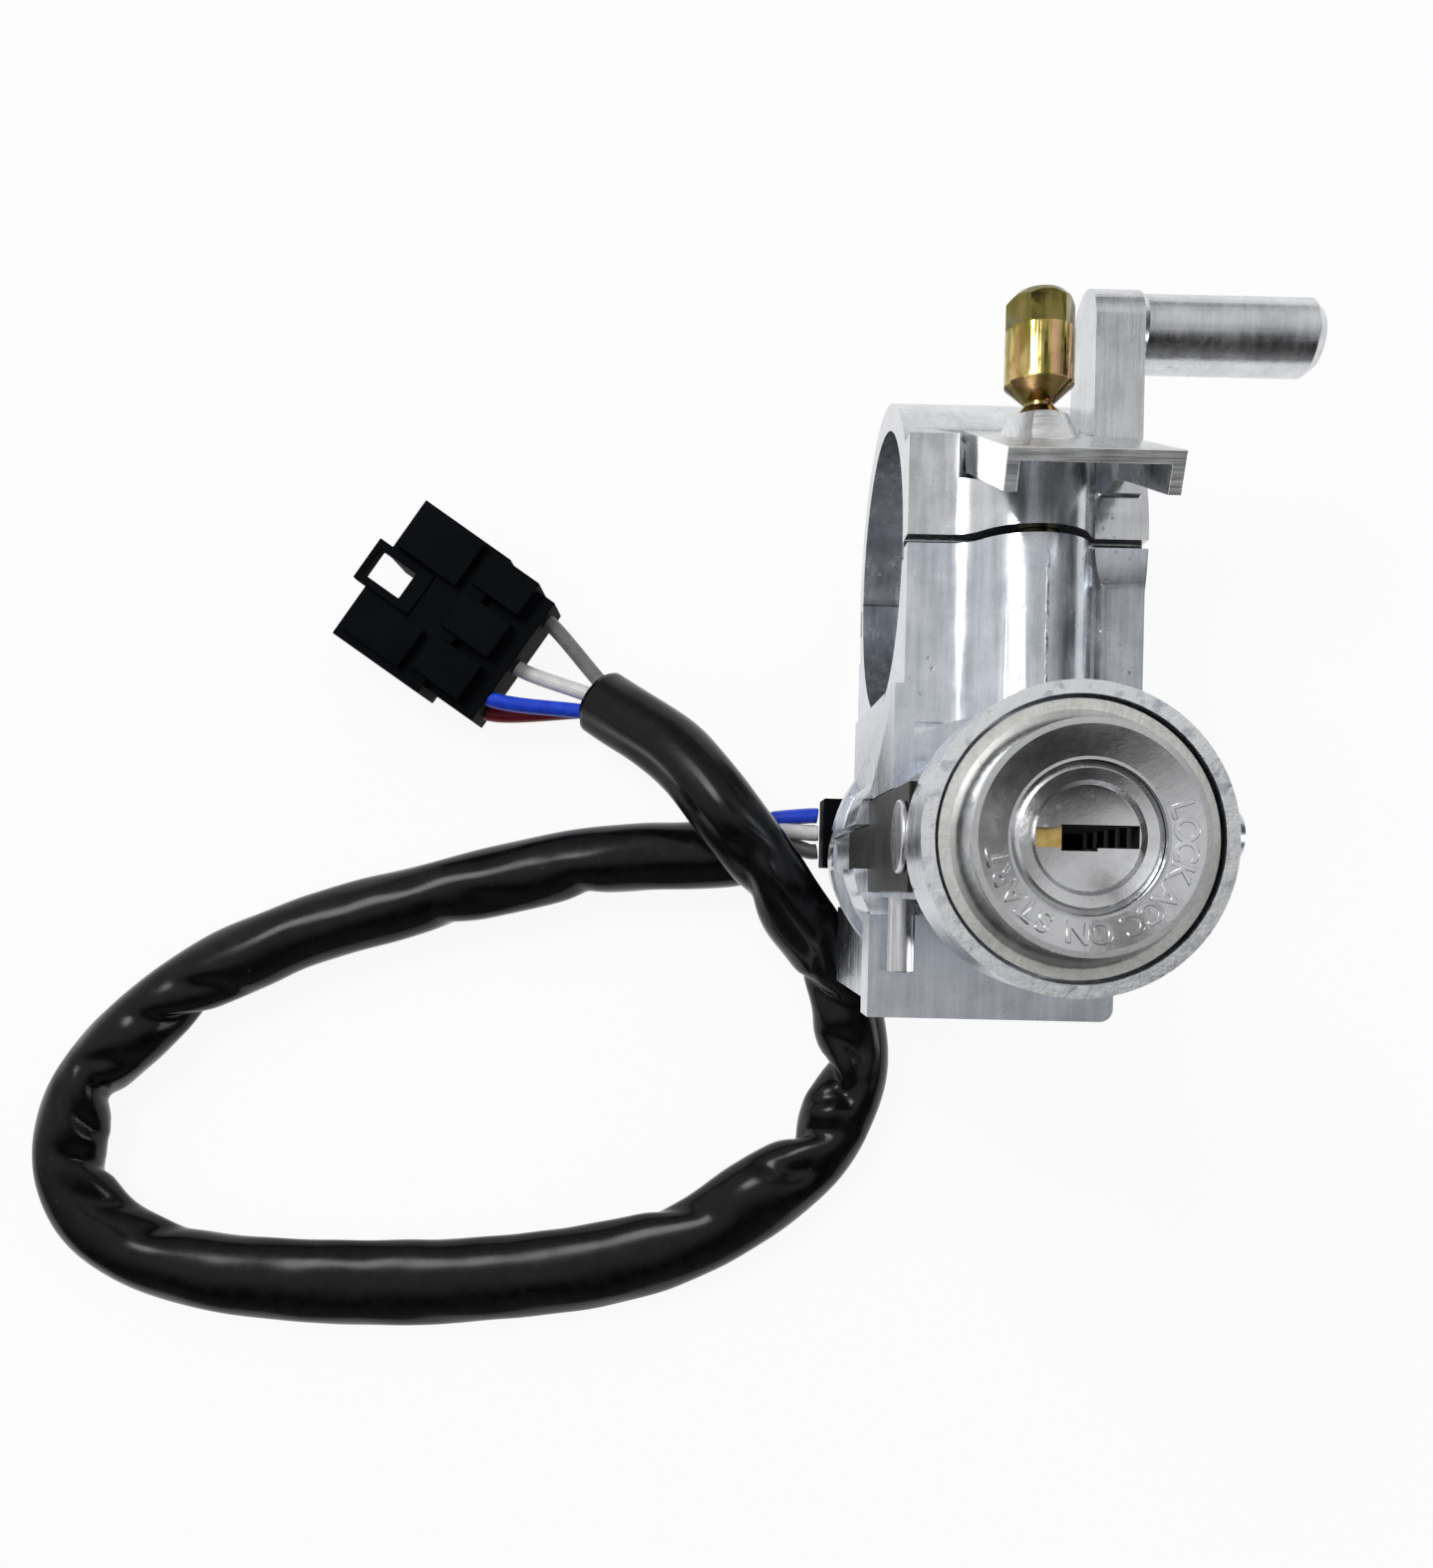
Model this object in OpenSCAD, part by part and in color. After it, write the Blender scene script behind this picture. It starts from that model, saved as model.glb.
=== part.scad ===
// Ignition switch with steering lock, column clamp and harness.
// Frame: X along the steering column bore, Y up the clamp, Z along the key axis toward the key.
// Origin: on the column bore axis, half way along the clamp.

/* [Column clamp] */
// column bore diameter
bore_d = 44; // [42:0.5:46]
// ring wall thickness
ring_wall = 4; // [3.5:0.25:5]
// clamp length along the column
clamp_w = 34.2; // [32:0.2:38]
// open gap between cap and body on the bolt side
front_gap = 1.2; // [0.8:0.1:1.6]
// thin gap between cap and body on the hook side
rear_gap = 0.3; // [0.2:0.05:0.4]
// height of the cap's front shoulders above the bore axis
cap_h = 13.7; // [12:0.1:15]
// length of the body's front column below the bore axis
column_h = 35; // [33:0.5:37]
// radius of the convex boss round the clamp bolt
boss_r = 8.5; // [8.2:0.1:8.8]
// radius of the hollows that blend the boss into the flats
blend_r = 4.5; // [4:0.1:4.8]
// depth of the hook tongue on the cap
hook_d = 5; // [4:0.25:6]
// thickness of the hook tongue
hook_t = 1.6; // [1.2:0.1:2]

/* [Clamp bolt] */
// bolt shank diameter
bolt_d = 6; // [5:0.5:6.5]
// sideways offset of the bolt
bolt_x = 0.5; // [-1:0.25:1.5]
// wall left between bolt hole and bore
bolt_wall = 2.9; // [2.5:0.1:3.5]
// shear head width across flats
head_af = 8.4; // [8:0.1:10]
// height of the hexagon
hex_h = 5.2; // [4:0.2:7]
// height of the round collar
collar_h = 7.4; // [5:0.2:9]
// diameter of the shear neck
neck_d = 4; // [3.5:0.1:4.6]
// height of the taper above the neck
taper_h = 2.6; // [2:0.2:4]
// seat cone diameter
cone_d = 8; // [7:0.1:8.4]
// seat cone height
cone_h = 1.6; // [1.2:0.1:2.5]
// threaded length in the body
thread_l = 18; // [14:0.5:22]

/* [Bracket] */
// sheet thickness
sheet_t = 1.7; // [1.2:0.1:2]
// slope of the plate
bracket_slope = 23; // [18:1:25]
// left edge from the bolt
bracket_left = 9; // [8.4:0.1:9.6]
// right edge from the bolt
bracket_right = 13.3; // [12.5:0.1:14]
// reach in front of the bolt
bracket_front = 22; // [18:0.5:26]
// reach behind the bolt
bracket_back = 8.6; // [7.5:0.2:9]
// flange depth, outside
flange_h = 5.4; // [4.5:0.1:6.5]
// height of the bolt seat above the sheet
boss_rise = 2.05; // [2:0.05:2.4]
// top diameter of the bolt seat
boss_top_d = 8.8; // [8.6:0.1:9.2]

/* [Cap arm] */
// pin diameter
pin_d = 11; // [9:0.25:12]
// height of the pin axis above the bore axis
arm_y = 31; // [30:0.25:33]
// pin axis in front of the bore axis
arm_z = 20; // [19:0.25:20.5]
// left face of the lug
lug_x = 9; // [8.5:0.25:10]
// lug thickness
lug_t = 7; // [6:0.25:8]
// pin length beyond the lug
pin_l = 26.5; // [20:0.5:32]

/* [Lock body] */
// key axis below the bore axis
lock_drop = 45.9; // [45.5:0.1:47]
// key axis sideways from the clamp middle
lock_x = -10.3; // [-10.6:0.1:-9.8]
// bezel face in front of the bore axis
face_z = 92.5; // [90:0.5:96]
// bezel height in front of the nose rim
bezel_proud = 3.5; // [3:0.1:4]
// nose rim diameter
nose_d = 29.6; // [28.8:0.2:31]
// nose rim wall
nose_wall = 1.3; // [1:0.1:1.6]
// nose length
nose_l = 9; // [8:0.25:11]
// neck diameter behind the nose
neck_od = 23.6; // [22.8:0.2:25]
// front of the middle drum
drum_z = 51.3; // [50:0.1:52]
// middle drum diameter
drum_d = 32.6; // [31.6:0.2:33.2]
// front of the rear flange
flange_z = 34.8; // [34:0.1:36]
// rear flange diameter
flange_d = 34.5; // [33.6:0.1:35.5]
// rear flange thickness
flange_t = 4; // [3:0.25:5]
// rear barrel diameter
rear_d = 27; // [26:0.25:28]
// rear face of the lock body, behind the bore axis
rear_z = 8.5; // [8.2:0.1:9.5]
// foot width
foot_w = 29.4; // [28.4:0.2:30]
// foot bottom below the key axis
foot_drop = 20.3; // [20:0.1:22]
// foot front
foot_z = 54; // [52.5:0.1:56]
// side pad plane left of the key axis
pad_x = 14.3; // [14:0.1:14.8]

/* [Key cylinder] */
// bezel outside diameter
bezel_d = 21.7; // [21:0.1:23]
// plug diameter
plug_d = 14.1; // [13.6:0.1:14.6]
// running clearance round the plug
plug_clear = 0.06; // [0.04:0.01:0.1]
// case sleeve diameter
sleeve_d = 20; // [19.4:0.1:20.4]
// fit of the case in the body
case_fit = 0.05; // [0.02:0.01:0.08]
// case flange diameter
case_flange_d = 26.2; // [25.4:0.1:26.6]
// case sleeve length behind its flange
sleeve_l = 25; // [24.5:0.1:26]
// keyway length
key_w = 9.4; // [8.6:0.1:9.8]
// keyway height
key_t = 2.4; // [2:0.1:2.6]
// wafer thickness
wafer_t = 1.4; // [1.2:0.05:1.5]
// distance from one wafer to the next
wafer_pitch = 3.4; // [3.2:0.1:3.6]
// wafer travel
wafer_travel = 1.2; // [0.8:0.1:1.3]

/* [Lock bolt] */
// lock bolt width
lock_w = 8; // [7:0.25:8.5]
// lock bolt thickness
lock_t = 8; // [7:0.25:8.4]
// sliding clearance
slide_clear = 0.08; // [0.05:0.01:0.1]
// lock bolt travel into the bore
lock_travel = 6; // [5:0.25:6.5]
// depth of the bolt tip below the bore wall
lock_sunk = 0.8; // [0.6:0.1:1.2]
// shaft diameter
shaft_d = 8; // [7:0.1:8.4]
// lobe radius on the shaft
lobe_r = 5.5; // [5:0.1:5.7]
// yoke thickness
yoke_t = 5; // [4:0.25:5.5]
// yoke window half width
yoke_in = 6; // [6:0.05:6.2]
// yoke outside half width
yoke_out = 9.4; // [9:0.1:9.8]

/* [Electrical switch] */
// switch case diameter
switch_d = 23; // [22:0.25:23.5]
// switch case wall
switch_wall = 2; // [1.6:0.1:2.4]
// cover thickness
cover_t = 3; // [2.5:0.1:3.5]
// rotor thickness
rotor_t = 4.5; // [3.5:0.1:5]
// contact pin diameter
contact_d = 2.6; // [2:0.1:3]
// contact circle radius
contact_r = 5.6; // [5.2:0.1:6]

/* [Harness] */
// sheath diameter
sheath_d = 12; // [11:0.25:12.5]
// lead diameter
lead_d = 2.7; // [2.4:0.1:2.8]
// connector length along the leads
conn_l = 28; // [26:0.5:30]
// connector width across the leads
conn_w = 28; // [27:0.5:30]
// connector height
conn_h = 14.5; // [13.5:0.25:16]

/* [Hidden] */
$fn = 64;
e = 0.01;
far = 60;
seat_clear = 0.3;
yoke_clear = 0.3;

bore_r = bore_d / 2;
lug_r = pin_d / 2 + 0.5;
lip_h = 1.2;
lip_t = 1.2;
pin_root = 0.8;
ring_r = bore_r + ring_wall;
half_w = clamp_w / 2;
lock_y = -lock_drop;
floor_z = -ring_r;
block_low = -ring_r - 4;
block_high = -10;
block_z = -12;
saddle_high = -18;
saddle_z = 9;
bolt_hole_r = bolt_d / 2 + 0.3;
bolt_z = bore_r + bolt_wall + bolt_hole_r;
left_z = ring_r + 0.5;
right_z = ring_r - 1.2;
boss_z = bolt_z - 3.4;
boss_x = bolt_x - 0.2;
body_top = -0.6 - front_gap;
cap_bot = -0.6;
seat_y = cap_h - 2.5;
flange_from = (bore_r + 1.2 - bolt_z) / cos(bracket_slope);
bolt_top = seat_y + sheet_t / cos(bracket_slope) + boss_rise;
boss_foot = seat_y - 1;
taper_z = cone_h + 0.6;
collar_d = head_af + 1.2;
rim_z = face_z - bezel_proud;
nose_back = rim_z - nose_l;
case_seat = nose_back + 2;
sleeve_end = case_seat - sleeve_l;
cflange_t = rim_z - case_seat - 0.5;
skirt_h = 3;
skirt_d = bezel_d + 2.4;
dish_h = 0.8;
relief_r = plug_d / 2 + 1.35;
relief_end = 1.2;
nose_cone = 1;
foot_t = 6;
foot_inset = 3.4;
foot_r = 1.6;
web_t = 2.2;
web_up = 17.5;
web_top = face_z - 24.5;
roll_z = face_z - 35;
bump_r = 4.2;
bump_tip_r = 2.4;
bump_h = 1.5;
plate_t = 1.2;
plate_step = 49;
plate_up = 5.9;
tail_up = 2.9;
bezel_r = bezel_d / 2;
plug_r = plug_d / 2;
plug_front = face_z - 0.9;
plug_back = sleeve_end + 1;
wafer_z0 = plug_front - 4;
rivet_z = 76;
shaft_front = plug_back - 0.5;
chamber_z = 44;
shaft_r = shaft_d / 2;
head_r = shaft_r + 2.4;
flat_depth = 0.7;
clip_t = 1;
clip_z = -yoke_t / 2 - 0.15 - clip_t;
clip_r = shaft_r - 0.8;
rear = -rear_z;
win_top = lobe_r + 0.5;
win_bot = lobe_r + 0.5 + lock_travel;
yoke_bar = 2.4;
cap_t = 2;
foot_y = lock_y - foot_drop;
yoke_low = lock_y - win_bot - yoke_bar;
spring_floor = foot_y + cap_t;
spring_l = yoke_low - spring_floor - 0.2;
sw_r = switch_d / 2;
sw_back = floor_z + cover_t;
rotor_z = rear - 1.6;
rotor_back = rotor_z - rotor_t;
bridge_t = 1;
contact_a = [45 : 90 : 315];
contact_low = floor_z + 1.5;
contact_top = rotor_back - bridge_t - 0.3;
screw_a = [60, 260];
screw_c = 14.4;
outlet_x = lock_x - sw_r - 2.2;
outlet_y = -41.2;
outlet_half = 6;
lead_z = floor_z + 6;
sheath_r = sheath_d / 2;
lead_r = lead_d / 2;
table_z = floor_z + sheath_r;
conn_c = [-90, -5];
conn_a = -34;

// sheath route, centre line, hand picked; heights are above the lying height
route = [[-33, -42, 0], [-40, -45, 0], [-56, -46, 0], [-70, -48, 0], [-93, -54, 0], [-116, -61, 0],
    [-134, -70, 0], [-148, -82, 0], [-155, -94, 0], [-155, -105, 0], [-148, -115, 0], [-132, -121, 0],
    [-109, -123, 0], [-83, -122, 0], [-58, -118, 0], [-39, -110, 0], [-25, -99, 0], [-18, -86, 0],
    [-18, -74, 0], [-23, -63, 4], [-31, -52, 11], [-40, -40, 13.5], [-50, -28, 8], [-63, -19, 0]];

function cr(a, b, c, d, t) = 0.5 * (2 * b + (c - a) * t + (2 * a - 5 * b + 4 * c - d) * t * t
    + (3 * b - a - 3 * c + d) * t * t * t);
function smooth(p, n) = [for (i = [0 : len(p) - 2]) for (k = [0 : n - 1])
    cr(p[max(i - 1, 0)], p[i], p[i + 1], p[min(i + 2, len(p) - 1)], k / n), p[len(p) - 1]];
function unit(v) = v / norm(v);
function tang(p, i) = unit(p[min(i + 1, len(p) - 1)] - p[max(i - 1, 0)]);
function ring_at(p, i, r, s) = let (t = tang(p, i), u = unit(cross([0, 0, 1], t)), w = cross(t, u))
    [for (k = [0 : s - 1]) p[i] + r * (cos(360 * k / s) * u + sin(360 * k / s) * w)];

// round tube along a list of points, flat ends
module tube_along(p, r, s) {
    n = len(p);
    pts = [for (i = [0 : n - 1]) each ring_at(p, i, r, s)];
    sides = [for (i = [0 : n - 2]) for (k = [0 : s - 1])
        [i * s + k, (i + 1) * s + k, (i + 1) * s + (k + 1) % s, i * s + (k + 1) % s]];
    ends = [[for (k = [0 : s - 1]) k], [for (k = [s - 1 : -1 : 0]) (n - 1) * s + k]];
    polyhedron(points = pts, faces = concat(sides, ends), convexity = 8);
}

module x_cyl(r, x0, x1) translate([x0, 0, 0]) rotate([0, 90, 0]) cylinder(r = r, h = x1 - x0);
module y_cyl(r, y0, y1) translate([0, y1, 0]) rotate([90, 0, 0]) cylinder(r = r, h = y1 - y0);
module box(a, b) translate(a) cube(b - a);
module at_lock() translate([lock_x, lock_y, 0]) children();

// sideways distance from the boss middle to where its blend meets a flat
function blend_x(flat) = sqrt(pow(boss_r + blend_r, 2) - pow(flat + blend_r - boss_z, 2));
function arc(c, r, from, to, n, first = 1) = [for (i = [first : n]) let (a = from + (to - from) * i / n)
    c + r * [cos(a), sin(a)]];

// outline of the clamp front, seen along the bolt
module front_plan() {
    left = [boss_x - blend_x(left_z), left_z + blend_r];
    right = [boss_x + blend_x(right_z), right_z + blend_r];
    left_a = atan2(left[1] - boss_z, left[0] - boss_x);
    right_a = atan2(right[1] - boss_z, right[0] - boss_x);
    polygon(concat([[-half_w, 8], [-half_w, left_z]],
        arc(left, blend_r, -90, left_a - 180, 7, 0),
        arc([boss_x, boss_z], boss_r, left_a, right_a, 18),
        arc(right, blend_r, right_a + 180, 270, 7),
        [[half_w, right_z], [half_w, 8]]));
}

// extrude a plan along the bolt from y0 up to y1
module y_plan(y0, y1) translate([0, y1, 0]) rotate([90, 0, 0]) linear_extrude(height = y1 - y0) children();

// region above the sloped bracket seat
module above_seat(extra) translate([0, seat_y - extra, bolt_z]) rotate([bracket_slope, 0, 0])
    translate([bolt_x - bracket_left - seat_clear, 0, -bracket_back - seat_clear])
        cube([bracket_left + bracket_right + 2 * seat_clear, far, far]);

// room for the left flange of the bracket
module flange_room() translate([0, seat_y, bolt_z]) rotate([bracket_slope, 0, 0])
    box([bolt_x - bracket_left - 1.6, sheet_t - flange_h - 0.4, flange_from - seat_clear],
        [bolt_x - bracket_left + sheet_t + seat_clear, far, far]);

module lock_housing() color([0.72, 0.73, 0.75]) difference() {
    union() {
        intersection() {
            x_cyl(ring_r, -half_w, half_w);
            union() {
                box([-half_w, -ring_r, 0], [half_w, body_top, ring_r]);
                box([-half_w, -ring_r, -ring_r], [half_w, -rear_gap / 2, 0]);
            }
        }
        y_plan(-column_h, body_top) front_plan();
        // back block that stands on the table
        box([-half_w, block_low, floor_z], [half_w, block_high, block_z]);
        // saddle under the bore
        box([-half_w, block_low, block_z - e], [half_w, saddle_high, saddle_z]);
        box([-half_w, -column_h, rear + 0.5], [half_w, block_low + 1, saddle_z]);
        at_lock() {
            translate([0, 0, rear]) cylinder(d = rear_d, h = flange_z - rear);
            translate([0, 0, flange_z - flange_t]) cylinder(d = flange_d, h = flange_t);
            translate([0, 0, flange_z - e]) cylinder(d = drum_d, h = drum_z - flange_z + e);
            translate([0, 0, drum_z - e]) cylinder(d = neck_od, h = nose_back - drum_z + 2 * e);
            translate([0, 0, nose_back]) cylinder(d = nose_d, h = nose_l);
            // cone under the nose
            translate([0, 0, nose_back - nose_cone]) cylinder(d1 = neck_od, d2 = nose_d, h = nose_cone + e);
            // foot and its hidden run to the rear
            difference() {
                union() {
                    box([-foot_w / 2, -foot_drop, foot_z - foot_t], [foot_w / 2, -8, foot_z]);
                    box([-foot_w / 2 + foot_inset, -foot_drop + 0.3, flange_z],
                        [foot_w / 2 - foot_inset / 2, -8, foot_z - 1]);
                }
                translate([foot_w / 2 - foot_r, -foot_drop + foot_r, 0]) difference() {
                    box([0, -foot_r - 1, flange_z - 1], [foot_r + 1, 0, foot_z + 1]);
                    translate([0, 0, flange_z - 2]) cylinder(r = foot_r, h = foot_z - flange_z + 4);
                }
            }
            box([-yoke_out - 2.2, -foot_drop, rear], [yoke_out + 2.2, -8, flange_z + e]);
            // side pad for the plate
            box([-pad_x + plate_t, -6, flange_z - 6], [-neck_od / 2 + 4, 6.8, nose_back + e]);
            // web from the pad toward the clamp
            box([-pad_x, 6, flange_z - 2], [-pad_x + web_t, web_up, web_top]);
            box([-pad_x, 6, flange_z - 2], [-neck_od / 2 + 4, 9, web_top]);
            // bump on the right of the nose
            translate([nose_d / 2 - 2, 0.8, nose_back + 4]) rotate([0, 90, 0])
                cylinder(r1 = bump_r, r2 = bump_tip_r, h = 2 + bump_h);
            // screw bosses for the switch
            for (a = screw_a) rotate(a) translate([screw_c, 0, rear + 0.25]) cylinder(r = 3, h = 7.75);
        }
    }
    x_cyl(bore_r, -half_w - 1, half_w + 1);
    // hook groove
    box([-half_w - 1, -rear_gap / 2 - hook_d, -bore_r - ring_wall / 2 - hook_t / 2 - 0.05],
        [half_w + 1, 1, -bore_r - ring_wall / 2 + hook_t / 2 + 0.05]);
    // room for the cap's register lip
    box([-half_w - 1, body_top - lip_h - 0.3, 0], [half_w + 1, 1, bore_r + lip_t + 0.15]);
    // bolt thread hole
    translate([bolt_x, 0, bolt_z]) y_cyl(bolt_d / 2 + 0.02, body_top - thread_l - 1, body_top + 1);
    // line across the column front
    box([-half_w - 1, -27.9, left_z - 0.4], [boss_x - blend_x(left_z) - 0.4, -27.1, left_z + 1]);
    // column hollow from the bottom
    box([2, -column_h - 1, 0], [half_w - 3, -28.5, 20]);
    at_lock() {
        // seat for the key cylinder case
        translate([0, 0, case_seat]) cylinder(d = nose_d - 2 * nose_wall, h = nose_l);
        translate([0, 0, sleeve_end]) cylinder(d = sleeve_d + 2 * case_fit, h = sleeve_l + 1);
        // shaft chamber and bearing
        translate([0, 0, chamber_z]) cylinder(r = 7.6, h = sleeve_end - chamber_z + 1);
        translate([0, 0, rear - 1]) cylinder(r = shaft_r + 0.05, h = chamber_z - rear + 2);
        translate([0, 0, rear - 1]) cylinder(r = lobe_r + 0.4, h = 1 - rear + yoke_t / 2 + 0.4);
        translate([0, 0, rear - 1]) cylinder(r = 8.05, h = 3);
        // yoke room, open at the foot
        box([-yoke_out - yoke_clear, -foot_drop - 1, -yoke_t / 2 - yoke_clear],
            [yoke_out + yoke_clear, win_top + lock_travel + 2.5, yoke_t / 2 + yoke_clear]);
        // bolt guide
        box([-lock_w / 2 - slide_clear, 4, -lock_t / 2 - slide_clear],
            [lock_w / 2 + slide_clear, lock_drop, lock_t / 2 + slide_clear]);
        box([-yoke_out - yoke_clear, -foot_drop - 1, -lock_t / 2 - slide_clear],
            [yoke_out + yoke_clear, -foot_drop + cap_t, lock_t / 2 + slide_clear]);
        // switch screws
        for (a = screw_a) rotate(a) translate([screw_c, 0, rear - 1]) cylinder(r = 1.25, h = 6);
        // room for the side plate
        box([-drum_d, -2.5, 0], [-pad_x + plate_t, 3, plate_step]);
        box([-drum_d, -5.4, plate_step - 0.1], [-pad_x + plate_t, 6, drum_z + e]);
        // rivet and roll pin holes
        translate([0, 0.4, rivet_z]) x_cyl(2, -pad_x - 1, -sleeve_d / 2 + 1);
        translate([-pad_x + 2.9, 0, roll_z]) y_cyl(1.6, -7, -2);
    }
}

module clamp_cap() color([0.74, 0.75, 0.77]) difference() {
    union() {
        intersection() {
            x_cyl(ring_r, -half_w, half_w);
            union() {
                box([-half_w, cap_bot, 0], [half_w, ring_r, ring_r]);
                box([-half_w, rear_gap / 2, -ring_r], [half_w, ring_r, 0]);
            }
        }
        y_plan(cap_bot, cap_h) front_plan();
        // register lip behind the open gap
        box([-half_w, body_top - lip_h, bore_r - 2], [half_w, cap_bot + e, bore_r + lip_t]);
        // hook tongue
        box([-half_w, -rear_gap / 2 - hook_d + 0.2, -bore_r - ring_wall / 2 - hook_t / 2],
            [half_w, 4, -bore_r - ring_wall / 2 + hook_t / 2]);
        // lug and pin
        translate([0, arm_y, arm_z]) {
            x_cyl(lug_r, lug_x, lug_x + lug_t);
            x_cyl(pin_d / 2, lug_x, lug_x + lug_t + pin_l - 1.5);
            translate([lug_x + lug_t - e, 0, 0]) rotate([0, 90, 0])
                cylinder(r1 = lug_r, r2 = pin_d / 2, h = pin_root + e);
        }
        translate([lug_x + lug_t + pin_l - 1.5, arm_y, arm_z]) rotate([0, 90, 0])
            cylinder(r1 = pin_d / 2, r2 = pin_d / 2 - 1.2, h = 1.5);
        box([lug_x, 6, arm_z - lug_r], [lug_x + lug_t, arm_y, arm_z + lug_r]);
    }
    x_cyl(bore_r, -half_w - 1, half_w + 1);
    difference() {
        above_seat(0);
        box([lug_x - 0.4, 0, arm_z - lug_r - 0.4], [lug_x + lug_t + 10, far, arm_z + lug_r + 0.4]);
    }
    flange_room();
    translate([bolt_x, 0, bolt_z]) y_cyl(bolt_hole_r, -5, 40);
}

// move to the bracket's own frame: sheet underside at y 0, bolt axis at z 0
module on_seat() translate([0, seat_y, bolt_z]) rotate([bracket_slope, 0, 0]) children();

module clamp_bracket() color([0.66, 0.67, 0.7]) difference() {
    union() {
        on_seat() difference() {
            box([bolt_x - bracket_left, sheet_t - flange_h, -bracket_back],
                [bolt_x + bracket_right, sheet_t, bracket_front]);
            box([bolt_x - bracket_left + sheet_t, -20, -40], [bolt_x + bracket_right - sheet_t, 0, 60]);
            // flanges start clear of the ring
            box([-40, -20, -40], [40, 0, flange_from]);
            // chamfered corner
            translate([0, sheet_t - flange_h, flange_from]) rotate([45, 0, 0])
                cube([2 * far, 3, 3], center = true);
            // cut round the lug
            box([lug_x - 0.6, -20, -40], [60, 20, arm_z + lug_r + 2 - bolt_z]);
        }
        // drawn seat for the bolt, square to its axis
        intersection() {
            translate([bolt_x, boss_foot, bolt_z]) rotate([-90, 0, 0])
                cylinder(d1 = boss_top_d + 4.6, d2 = boss_top_d, h = bolt_top - boss_foot);
            on_seat() box([-20, sheet_t / 2, -20], [20, 20, 20]);
        }
    }
    translate([bolt_x, 0, bolt_z]) y_cyl(bolt_d / 2 + 0.4, -5, 40);
}

module shear_bolt() color([0.8, 0.68, 0.32]) translate([bolt_x, 0, bolt_z]) {
    y_cyl(bolt_d / 2, body_top - thread_l, bolt_top + 0.1);
    translate([0, bolt_top + 0.02, 0]) rotate([-90, 0, 0]) {
        cylinder(d1 = cone_d, d2 = neck_d + 0.6, h = cone_h);
        cylinder(d = neck_d, h = cone_h + 1);
        translate([0, 0, taper_z]) cylinder(d1 = neck_d, d2 = collar_d, h = taper_h);
        translate([0, 0, taper_z + taper_h - e]) cylinder(d = collar_d, h = collar_h);
        translate([0, 0, taper_z + taper_h + collar_h - 2 * e]) intersection() {
            cylinder(d = head_af / cos(30), h = hex_h, $fn = 6);
            cylinder(r1 = head_af, r2 = head_af * 0.42, h = hex_h);
        }
    }
}

module cylinder_case() color([0.76, 0.77, 0.79]) at_lock() difference() {
    union() {
        translate([0, 0, sleeve_end]) cylinder(d = sleeve_d, h = sleeve_l);
        translate([0, 0, case_seat]) cylinder(d = case_flange_d, h = cflange_t);
        translate([0, 0, case_seat + cflange_t - e]) cylinder(d1 = skirt_d, d2 = bezel_d, h = skirt_h);
        translate([0, 0, case_seat + cflange_t]) cylinder(d = bezel_d, h = face_z - case_seat - cflange_t);
    }
    translate([0, 0, sleeve_end - 1]) cylinder(r = plug_r + plug_clear, h = 60);
    // dished face
    translate([0, 0, face_z - dish_h]) cylinder(r1 = plug_r + 0.35, r2 = bezel_r - 0.55, h = dish_h + e);
    // relief round the wafers
    translate([0, 0, wafer_z0 - 4 * wafer_pitch - relief_end])
        cylinder(r = relief_r, h = 4 * wafer_pitch + wafer_t + 2 * relief_end);
    translate([0, 0.4, rivet_z]) x_cyl(2, -sleeve_d, -sleeve_d / 2 + 1);
}

module key_slot(d) {
    box([-key_w / 2, -key_t / 2 + 0.3, plug_front - d], [key_w / 2, key_t / 2 - 0.3, plug_front + 1]);
    box([-key_w / 2 + 2.2, -key_t / 2, plug_front - d], [0.9, key_t / 2, plug_front + 1]);
    box([0.8, -key_t / 2 + 0.55, plug_front - d], [key_w / 2, key_t / 2, plug_front + 1]);
}

module key_plug() color([0.75, 0.76, 0.78]) at_lock() difference() {
    union() {
        translate([0, 0, plug_back]) cylinder(r = plug_r, h = plug_front - plug_back - 0.7);
        translate([0, 0, plug_front - 0.7 - e]) cylinder(r1 = plug_r, r2 = plug_r - 0.7, h = 0.7 + e);
        // drive tang
        box([-4.4, -1.5, plug_back - 4], [4.4, 1.5, plug_back + 1]);
    }
    // shallow dish
    translate([0, 0, plug_front - 0.5]) cylinder(r1 = plug_r - 2.2, r2 = plug_r - 1.7, h = 0.6);
    key_slot(plug_front - plug_back - 3);
    for (i = [0 : 4]) translate([0, 0, wafer_z0 - i * wafer_pitch])
        box([-plug_r - 1, -2.75, -0.04], [plug_r + 1, 2.75, wafer_t + 0.04]);
}

module wafer(i) color([0.83, 0.66, 0.3]) at_lock()
    translate([0, 0, wafer_z0 - i * wafer_pitch]) difference() {
    box([-plug_r + 0.9, -2.7, 0], [plug_r - 0.9, 2.7, wafer_t]);
    box([-key_w / 2 + 2.9, -key_t / 2 - 0.2, -1], [key_w / 2 + 0.5, key_t / 2 + 0.2, wafer_t + 1]);
}
module wafer_1() wafer(0);
module wafer_2() wafer(1);
module wafer_3() wafer(2);
module wafer_4() wafer(3);
module wafer_5() wafer(4);

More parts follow.
